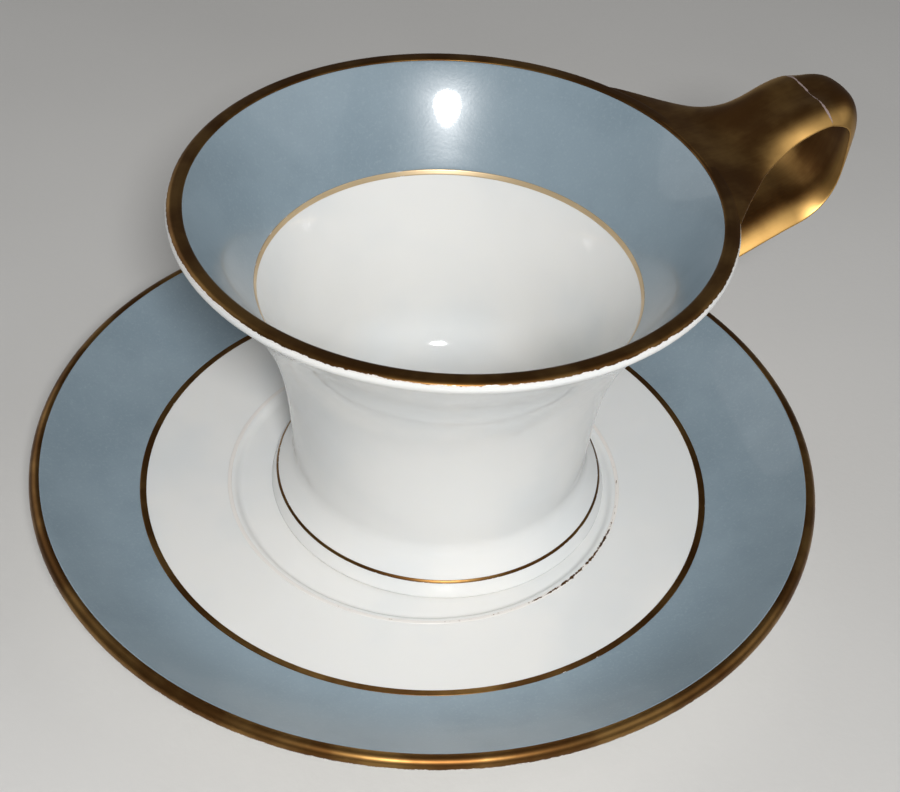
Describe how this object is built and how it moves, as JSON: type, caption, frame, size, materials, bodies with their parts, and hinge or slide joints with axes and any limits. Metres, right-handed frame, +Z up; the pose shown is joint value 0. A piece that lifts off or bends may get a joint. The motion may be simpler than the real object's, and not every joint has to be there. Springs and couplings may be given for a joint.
{
  "type": "demitasse cup and saucer",
  "caption": "White porcelain demitasse cup with a trumpet-shaped wall and a folded gilt ribbon handle, standing in the well of a saucer with a blue-grey band and gilt edges.",
  "frame": {"origin": "on the table, under the middle of the set's bounding box", "axes": "+Z up, +X along the cup's handle, +Y to its left"},
  "size_m": [0.1278, 0.1214, 0.0652],
  "materials": {
    "porcelain": "clear gloss glaze over white porcelain",
    "blue_enamel": "blue-grey overglaze enamel with a satin gloss",
    "gilding": "burnished gold, dulled and worn through in places",
    "gilded_porcelain": "porcelain gilded all over with burnished gold, worn on the fold"
  },
  "bodies": {
    "saucer": {"saucer_body": "porcelain", "saucer_blue_band": "blue_enamel", "saucer_rim_gilding": "gilding", "saucer_band_gold_line": "gilding", "saucer_well_gold_line": "gilding"},
    "cup": {"cup_body": "porcelain", "cup_handle": "gilded_porcelain", "cup_inner_blue_band": "blue_enamel", "cup_rim_gilding": "gilding", "cup_inner_gold_line": "gilding", "cup_foot_gold_line": "gilding"}
  },
  "joints": [
    {"name": "cup_lift", "type": "slide", "parent": "saucer", "child": "cup", "axis": [0, 0, 1], "range_m": [0, 0.09]}
  ]
}
